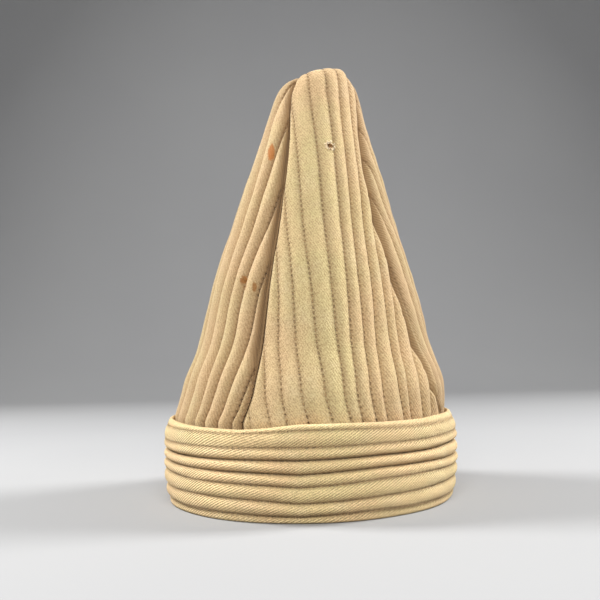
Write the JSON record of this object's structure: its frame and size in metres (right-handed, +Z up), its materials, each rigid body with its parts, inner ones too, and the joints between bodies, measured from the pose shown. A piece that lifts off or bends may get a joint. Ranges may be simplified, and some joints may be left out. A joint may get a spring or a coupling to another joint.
{
  "type": "quilted turban cap (kullah)",
  "caption": "Tall conical quilted cap with padded gores and a quilted head band, worn alone or as the core that a turban is wound on.",
  "frame": {"origin": "middle of the rim's bounding box, on the plane that the rim rests on", "axes": "+Z up along the cone, -Y to the front of the cap, +X to the viewer's right as seen from the front"},
  "size_m": [0.166, 0.203, 0.246],
  "materials": {
    "front_cloth": "matte sand-coloured cotton drill, quilted",
    "right_cloth": "matte sand-coloured cotton drill, quilted",
    "back_cloth": "matte sand-coloured cotton drill, quilted",
    "left_cloth": "matte sand-coloured cotton drill, quilted",
    "band_cloth": "matte sand-coloured cotton drill, quilted"
  },
  "bodies": {
    "root": {"gore_front": "front_cloth", "gore_right": "right_cloth", "gore_back": "back_cloth", "gore_left": "left_cloth", "head_band": "band_cloth"}
  },
  "joints": []
}
